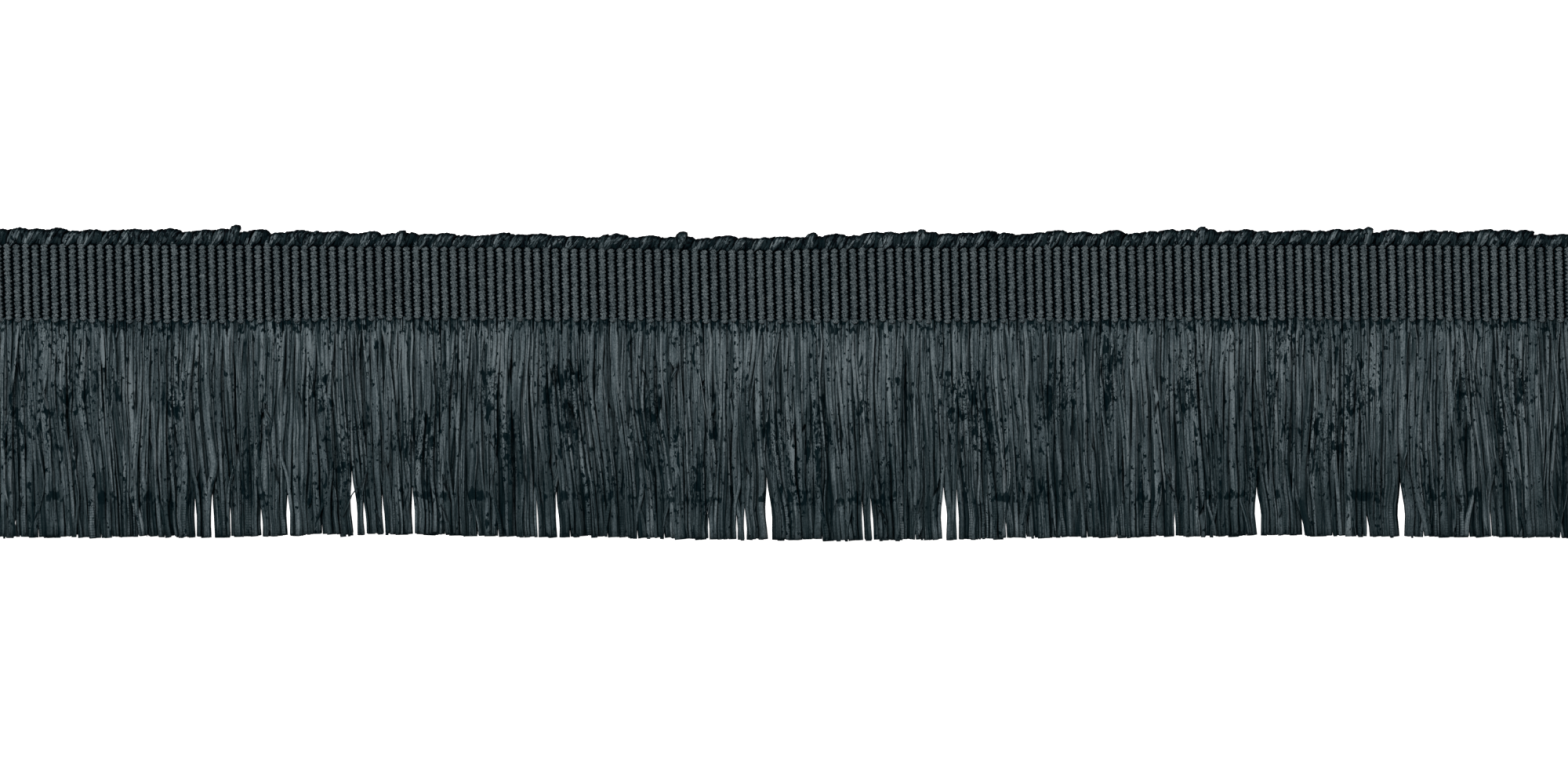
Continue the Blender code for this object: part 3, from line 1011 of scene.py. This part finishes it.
def make_fringe_layer(layer, gaps):
    """One layer of strips, from behind the heading down to the tips."""
    count, seed, sway = layer["strips"], layer["seed"], layer["sway"]
    chance = np.random.RandomState(seed)
    t = np.tile(SHARES, (count, 1))
    scatter = chance.uniform(-ROOT_SCATTER, ROOT_SCATTER, count)
    roots = (np.arange(count) + 0.5 + scatter) * (LENGTH / count) - LENGTH / 2
    roots = roots[:, None]

    def each(low, high):
        return chance.uniform(low, high, (count, 1))

    def spread(reach):
        return chance.normal(0, reach, (count, 1))

    def slow_wave(turns, share):
        return np.sin(TURN * (each(*turns) * share + each(0, 1)))

    rib = (np.floor((roots + LENGTH / 2) / RIB_PITCH) + 0.5) * RIB_PITCH - LENGTH / 2
    pinch = layer["pinch"] * (1 - smooth((t - GATHERED_AT) / GATHERED_OVER))
    foot_lean = RIB_LEAN * (HEADING_TOP_LINE - HEADING_FOOT_LINE) / 2
    x = roots + (rib - roots) * pinch + foot_lean * (1 - smooth(t / SLANTED_TO)) + drift(roots, t)
    loose = smooth(t / LOOSE_FROM) * sway
    held = np.minimum(t, HELD_SHARE)
    x += loose * each(*SWAY) * slow_wave(SWAY_TURNS, held)
    stray = each(0, 1) < layer["strays"]
    x += np.clip(held, 0, 1) * spread(ASLANT) * np.where(stray, STRAY_ASLANT, 1.0) * sway
    together = patches(seed + LEAN_FIELD, x, TIP_LINE * held, *LEAN_PATCH) - 0.5
    x += sway * LEAN_TOGETHER * smooth(t / LEAN_TOGETHER_BY) * together
    x += loose * KINK_REACH * kinks(chance, held, count)
    x += loose * chance.normal(0, SHAKE, t.shape)

    half = layer["width"] / 2 * np.exp(spread(WIDTH_SPREAD))
    half = np.clip(half, layer["least"], WIDEST_HALF) * np.where(stray, STRAY_WIDTH, 1.0)
    half = half * (1 + SWELL * slow_wave(SWELL_TURNS, t))
    half = half * (1 - ROOT_NARROWING * layer["pinch"] * (1 - smooth(t / NARROWED_TO)))

    roll = spread(ROLL_SPREAD) + each(*ROLL_WAVE) * slow_wave(ROLL_TURNS, t)
    roll = roll * layer["turning"]
    flips = each(0, 1) < layer["flips"]
    flip_at, flip_over = each(*FLIP_AT), each(*FLIP_OVER)
    flip_way = np.where(each(-1, 1) > 0, 1, -1)
    roll = roll + flips * flip_way * math.pi * smooth((t - flip_at) / flip_over + 0.5)
    roll = roll * smooth(t / ROLL_FROM)

    x, half = keep_clear(x, half, t, roots, gaps)

    tip_rise = TIP_RISE + smooth_noise(chance, roots, TIP_GROUP) * TIP_GROUP_REACH + spread(TIP_SPREAD)
    start = heading_foot(x) - ROOT_INSET
    y = start + (tip_line(x) + tip_rise - start) * t
    y = np.where(t < 0, start + ROOT_INSET * -t / BEHIND + BEHIND_REACH * (t <= -BEHIND), y)

    z = layer["z"] + (layer["tip_z"] - layer["z"]) * np.clip(t, 0, 1)
    z = z + np.where(stray, STRAY_Z, spread(Z_SPREAD))
    z = z + Z_WAVE * slow_wave(Z_TURNS, t)
    z = layer["root_z"] + (z - layer["root_z"]) * smooth((t - ROOT_Z_FROM) / ROOT_Z_OVER)
    reach = half * np.abs(np.sin(roll)) + EDGE_ROOM
    z = np.clip(z, reach + FLOOR_ROOM, HIGHEST - reach * EDGE_SHARE_ABOVE)

    centre = np.stack((x, y, z), axis=-1)
    rings = strip_rings(centre, half, roll, each(*CURL), THICKNESS, UPWARDS)
    rings[..., 2] = np.maximum(rings[..., 2], LOWEST_POINT)

    dull = chance.beta(*DULL, (count, 1)) * on_the_way(t, DULL_SPREAD)
    patch = TONE_PATCH_LEAST + TONE_PATCH_RISE * patches(seed, x, y, *TONE_PATCH)
    # Painted shadow between bundles of strips
    bundle_shadow = BUNDLE_SHADOW_LEAST + BUNDLE_SHADOW_RISE * patches(BUNDLE_SHADOW_FIELD, x, y, *BUNDLE_SHADOW_PATCH)
    shade = layer["tone"] * on_the_way(t, LEVELS) * (1 - dull) * patch * bundle_shadow
    shade = shade * (1 + chance.normal(0, TONE_SHAKE, t.shape))

    cluster = patches(CREASE_FIELD, x, y, *CREASE_PATCH) ** 2
    belt = np.exp(-(((t - BELT_AT) / BELT_WIDTH) ** 2))
    fleck = CREASE_LEAST + CREASE_RISE * cluster * (CREASE_BASE + BELT_RISE * belt)
    fleck = fleck * (1 - PLAIN_END * smooth((t - PLAIN_END_AT) / PLAIN_END_OVER)) + spread(CREASE_SPREAD)
    caught = CATCH_STEEPNESS * patches(CATCH_FIELD, x, np.zeros_like(y), *CATCH_PATCH) - CATCH_OFFSET

    shade, fleck = np.clip(shade, 0.0, BRIGHTEST), np.clip(fleck, 0, CREASE_MOST)
    fields = strip_fields(rings, half, (1 - t) * STRIP_LENGTH, shade, fleck, np.arange(count) + seed)
    fields["caught"] = np.broadcast_to(np.clip(caught, 0.0, 1.0)[..., None], rings.shape[:3])
    fields["ends"] = np.ones(rings.shape[:3])
    obj = swept_mesh(layer["name"], rings, fields, raffia)
    if layer["node"]:
        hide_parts(layer["node"])
    return obj


# The loops along the top edge

LOOP_SEED = 77
LOOP_STRIPS = 7
LOOP_CORE_STRIPS = 4
LOOP_CORE_FAN = 1.1
LOOP_RINGS = 13
LOOP_SCATTER = 0.16

# The larger loops, and how far their strips draw together
BUMP_COLUMNS = ("x", "size")
LOOP_BUMPS = (
    (-90.8, 1.28),
    (-62.0, 1.16),
    (-16.9, 1.30),
    (4.5, 1.14),
    (24.0, 1.18),
    (69.0, 1.18),
    (97.0, 1.16),
)
KNOT_WIDTH = 0.45
LOOP_SIZE = (0.88, 1.11)

# A turn starts inside the heading, comes up on the face, goes over the edge and ends behind. Its angles
# start at the side of its circle that is nearest the heading
TURN_FROM = math.radians(-35)
TURN_THROUGH = math.radians(270)
STARTS_BELOW = 0.35
OVER_EDGE = 0.28
FAN_ROUND = 0.42
FAN_ROUND_POWER = 2.2
FAN_LEAST_REACH = 0.55
FAN_LEAST_HEIGHT = 0.45
CORE_REACH = 0.82
CORE_HEIGHT = 0.72
LOOP_HEIGHT = 0.62
LOOP_MIDDLE_Z = 0.78
LOOP_Y_SHAKE = 0.04

# Along the trim: where the fan and its core start, how wide they are, and how far they slant
FAN_START = 0.95
FAN_WIDTH = 0.58
FAN_SPREADING = 0.74
FAN_SLANT = 2.25
FAN_LAY = (0.75, 1.20)
FAN_BULGE = 0.22
CORE_START = 0.4
CORE_WIDTH = 1.22
CORE_SLANT = 1.1
SLANT_LEAST = -0.2
LOOP_WAVE = 0.12
LOOP_WAVE_TURNS = (0.5, 1.2)
LOOP_PAST_END = 0.2

# The strips of a loop, which face out of its circle and a little to the side
FACING_MIDDLE_Z = 0.72
SIDE_FACING = 0.45
Z_FACING = 1.2
NEVER_NONE = 1e-4
CORE_HALF_WIDTH = 0.74
FAN_HALF_WIDTH = (0.20, 0.46)
LOOP_ROLL = 0.30
LOOP_ROLL_WAVE = 0.25
LOOP_ROLL_END = 1.2
LOOP_ROLL_OVER = 0.7
LOOP_CURL = (0.15, 0.45)
LOOP_THICKNESS = 0.09
LOOP_LOWEST = 0.02
LOOP_HIGHEST = 1.75

# Painted light and shade: lit on the face, dark over the edge, and lit again behind. Each loop's sides are
# painted darker than its middle
FACE_FROM = 0.10
FACE_OVER = 0.7
EDGE_FROM = 2.05
EDGE_OVER = 0.50
BACK_FROM = 3.3
BACK_OVER = 0.5
BACK_SHARE = 0.8
# The core strips are painted dark, as the shade under the fan
CORE_SHADE_TONE = (0.10, 0.45)
FAN_TONE = (0.30, 1.0)
FAN_TONE_POWER = 1.4
FAN_TONE_RISE = 1.85
# Painted shade at each loop's sides, lighter in its middle
SIDE_DARK = 0.55
SIDE_SHIFT = 0.15
SIDE_POWER = 1.8
UNLIT = 0.04
LOOP_ALONG = 6.5
LOOP_ALONG_THROUGH = 6.0
LOOP_FLECK = 0.75


def make_loops():
    """Each loop is a bunch of strips that slants up over the face, over the edge and down behind."""
    chance = np.random.RandomState(LOOP_SEED)
    loops = RIBS // 2
    core_fan = np.linspace(-LOOP_CORE_FAN, LOOP_CORE_FAN, LOOP_CORE_STRIPS)
    bunch = np.concatenate((core_fan, np.linspace(-1, 1, LOOP_STRIPS)))
    core = np.tile(np.arange(len(bunch)) < LOOP_CORE_STRIPS, loops)[:, None]
    number = np.repeat(np.arange(loops), len(bunch))
    side = np.tile(bunch, loops)[:, None]
    side = side + chance.uniform(-LOOP_SCATTER, LOOP_SCATTER, side.shape)
    s = np.linspace(0, 1, LOOP_RINGS)[None]

    def each_loop(low, high):
        return chance.uniform(low, high, loops)[number][:, None]

    def each(low, high):
        return chance.uniform(low, high, side.shape)

    centre_x = (number[:, None] + 0.5) * 2 * RIB_PITCH - LENGTH / 2
    size = each_loop(*LOOP_SIZE)
    narrow = np.ones_like(size)
    for bump in rows(BUMP_COLUMNS, LOOP_BUMPS):
        near = np.abs(centre_x - bump["x"]) < RIB_PITCH
        size = np.where(near & ~core, bump["size"], size)
        narrow = np.where(near, KNOT_WIDTH, narrow)

    angle = TURN_FROM + s * TURN_THROUGH
    foot, edge = heading_top(centre_x), loop_line(centre_x)
    reach = (edge + OVER_EDGE - foot + STARTS_BELOW) / 2
    plump = 1 - FAN_ROUND * np.minimum(np.abs(side), 1.0) ** FAN_ROUND_POWER
    fan_reach = FAN_LEAST_REACH + (1 - FAN_LEAST_REACH) * plump
    fan_height = FAN_LEAST_HEIGHT + (1 - FAN_LEAST_HEIGHT) * plump
    radius_y = reach * size * np.where(core, CORE_REACH, fan_reach)
    radius_z = LOOP_HEIGHT * size * fan_height * np.where(core, CORE_HEIGHT, 1.0)
    middle_y = foot - STARTS_BELOW + reach * size
    y = middle_y - radius_y * np.cos(angle) + LOOP_Y_SHAKE * chance.normal(0, 1, side.shape)
    z = LOOP_MIDDLE_Z + radius_z * np.sin(angle)

    advance = np.clip(angle / math.pi, SLANT_LEAST, 1.0)
    lay = each_loop(*FAN_LAY)
    fan_width = narrow * (FAN_WIDTH + FAN_SPREADING * np.maximum(advance, 0.0))
    fan_x = centre_x - FAN_START + side * fan_width + FAN_SLANT * advance * lay * narrow
    core_x = centre_x + side * CORE_WIDTH + CORE_SLANT * advance - CORE_START
    x = np.where(core, core_x, fan_x) + FAN_BULGE * side * np.sin(angle)
    x = x + LOOP_WAVE * np.sin(TURN * (s * each(*LOOP_WAVE_TURNS) + each(0, 1)))
    x = np.clip(x, -LENGTH / 2 - LOOP_PAST_END, LENGTH / 2 + LOOP_PAST_END)

    centre = np.stack((x, y, z), axis=-1)
    sideways = np.broadcast_to(side * SIDE_FACING, x.shape)
    outward = np.stack((sideways, y - middle_y, (z - FACING_MIDDLE_Z) * Z_FACING + NEVER_NONE), axis=-1)
    half = np.broadcast_to(np.where(core, CORE_HALF_WIDTH, each(*FAN_HALF_WIDTH)), x.shape)
    roll = chance.normal(0, LOOP_ROLL, side.shape) + LOOP_ROLL_WAVE * np.sin(TURN * (s + each(0, 1)))
    roll = roll * (1 - smooth((angle - LOOP_ROLL_END) / LOOP_ROLL_OVER)) * np.where(core, 0.0, 1.0)
    rings = strip_rings(centre, half, roll, each(*LOOP_CURL), LOOP_THICKNESS, outward)
    rings[..., 2] = np.clip(rings[..., 2], LOOP_LOWEST, LOOP_HIGHEST)

    # Painted light and shade by the way each point faces
    facing = smooth((angle - FACE_FROM) / FACE_OVER) * (1 - smooth((angle - EDGE_FROM) / EDGE_OVER))
    facing = facing + BACK_SHARE * smooth((angle - BACK_FROM) / BACK_OVER)
    # Painted shade: the core under the fan is dark
    core_shade_tone = each(*CORE_SHADE_TONE)
    tone = np.where(core, core_shade_tone, each(*FAN_TONE) ** FAN_TONE_POWER * FAN_TONE_RISE)
    rim = 1 - SIDE_DARK * np.minimum(np.abs(side + SIDE_SHIFT), 1.0) ** SIDE_POWER
    shade = tone * (UNLIT + (1 - UNLIT) * facing) * rim
    along = s * LOOP_ALONG_THROUGH + LOOP_ALONG
    fields = strip_fields(rings, half, along, shade, np.full(x.shape, LOOP_FLECK), np.arange(len(side)))
    obj = swept_mesh("loop_strips", rings, fields, loop_raffia)
    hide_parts("loop_edge")
    return obj


# A fibre that has split off and lies across one of the gaps
FIBRE_COLUMNS = ("x", "y", "z")
LOOSE_FIBRE = np.array(
    (
        (-68.3, -13.9, 1.50),
        (-68.9, -15.0, 1.62),
        (-69.4, -15.9, 1.66),
        (-70.2, -17.0, 1.60),
        (-70.8, -17.8, 1.50),
        (-71.4, -19.4, 1.50),
        (-72.3, -21.4, 1.42),
    )
)
FIBRE_HALF_WIDTH = 0.10
FIBRE_THICKNESS = 0.08
FIBRE_TONE = 0.25
FIBRE_NUMBER = 3.0


def make_fibre():
    centre = LOOSE_FIBRE[None]
    half = np.full(centre.shape[:2], FIBRE_HALF_WIDTH)
    flat = np.zeros_like(half)
    rings = strip_rings(centre, half, flat, flat, FIBRE_THICKNESS, UPWARDS)
    along = column("y", FIBRE_COLUMNS, LOOSE_FIBRE)[None] - TIP_LINE
    shade = np.full_like(half, FIBRE_TONE)
    fields = strip_fields(rings, half, along, shade, flat, np.array((FIBRE_NUMBER,)))
    return swept_mesh("loose_fibre", rings, fields, raffia)


ground = make_ground()
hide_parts("heading")
warps = [
    make_warps("heading_warp_even", parity=0, seed=21),
    make_warps("heading_warp_odd", parity=1, seed=22),
]
loops = make_loops()
gaps = gap_table()
for layer, form in zip(rows(LAYER_COLUMNS, LAYERS), rows(FORM_COLUMNS, FORMS)):
    make_fringe_layer({**layer, **form}, gaps)
make_fibre()


# Floor, light and camera

# The floor and lights are in metres
FLOOR_SIDE = 3.0
FLOOR_DROP = 0.0001
# The floor glows with its own emission: painted light, which keeps it white where the trim's shadows fall
FLOOR_SOCKETS = {
    "Base Color": (0.92, 0.92, 0.92, 1.0),
    "Roughness": 0.9,
    "Specular IOR Level": 0.0,
    "Emission Color": (1.0, 1.0, 1.0, 1.0),
    "Emission Strength": 0.8,
}
LIGHT_COLUMNS = ("name", "place", "size", "power")
LIGHTS = (
    ("key", (-0.40, 0.45, 1.05), 0.6, 17.0),
    ("fill", (0.9, -0.3, 0.9), 1.0, 4.0),
)
SKY_COLOUR = (1.0, 1.0, 1.0, 1.0)
SKY_STRENGTH = 0.35

# The photo's size, what a pixel shows, the row of pixels at the trim's middle, and the camera in
# millimetres, apart from where it clips, which is in metres
PHOTO_WIDTH_PX = 2000
PHOTO_HEIGHT_PX = 993
MM_PER_PX = 0.1285
TRIM_MIDDLE_Y_PX = 492.5
FACE_HEIGHT = 1.0
LENS = 100.0
SENSOR = 36.0
CLIP_START = 0.01
CLIP_END = 20.0


def make_floor():
    mesh = bpy.data.meshes.new("floor")
    side = FLOOR_SIDE
    corners = [(-side, -side, 0), (side, -side, 0), (side, side, 0), (-side, side, 0)]
    mesh.from_pydata(corners, [], [(0, 1, 2, 3)])
    floor = placed("floor", mesh)
    floor.location.z = -FLOOR_DROP
    nodes = Nodes("glowing_floor")
    for socket, value in FLOOR_SOCKETS.items():
        nodes.shader.inputs[socket].default_value = value
    mesh.materials.append(nodes.material)


def make_lights():
    """Lamps that shine on the middle of the trim, and an even sky."""
    for row in rows(LIGHT_COLUMNS, LIGHTS):
        light = bpy.data.lights.new(row["name"], "AREA")
        light.size = row["size"]
        light.energy = row["power"]
        lamp = placed(row["name"], light)
        lamp.location = row["place"]
        direction = -lamp.location
        lamp.rotation_euler = direction.to_track_quat("-Z", "Y").to_euler()
    world = bpy.data.worlds.new("studio")
    world.use_nodes = True
    sky = world.node_tree.nodes["Background"]
    sky.inputs["Color"].default_value = SKY_COLOUR
    sky.inputs["Strength"].default_value = SKY_STRENGTH
    bpy.context.scene.world = world


def make_camera():
    """The photo's camera, straight above, so far up that a pixel shows what it shows in the photo."""
    camera = bpy.data.cameras.new("camera")
    camera.lens = LENS
    camera.sensor_width = SENSOR
    camera.clip_start = CLIP_START
    camera.clip_end = CLIP_END
    eye = placed("camera", camera)
    distance = PHOTO_WIDTH_PX * MM_PER_PX * MM * LENS / SENSOR
    aim = (TRIM_MIDDLE_Y_PX - PHOTO_HEIGHT_PX / 2) * MM_PER_PX * MM
    eye.location = (0.0, aim, distance + FACE_HEIGHT * MM)
    bpy.context.scene.camera = eye


make_floor()
make_lights()
make_camera()
bpy.context.scene.view_settings.view_transform = "Standard"
bpy.context.scene.view_settings.look = "None"
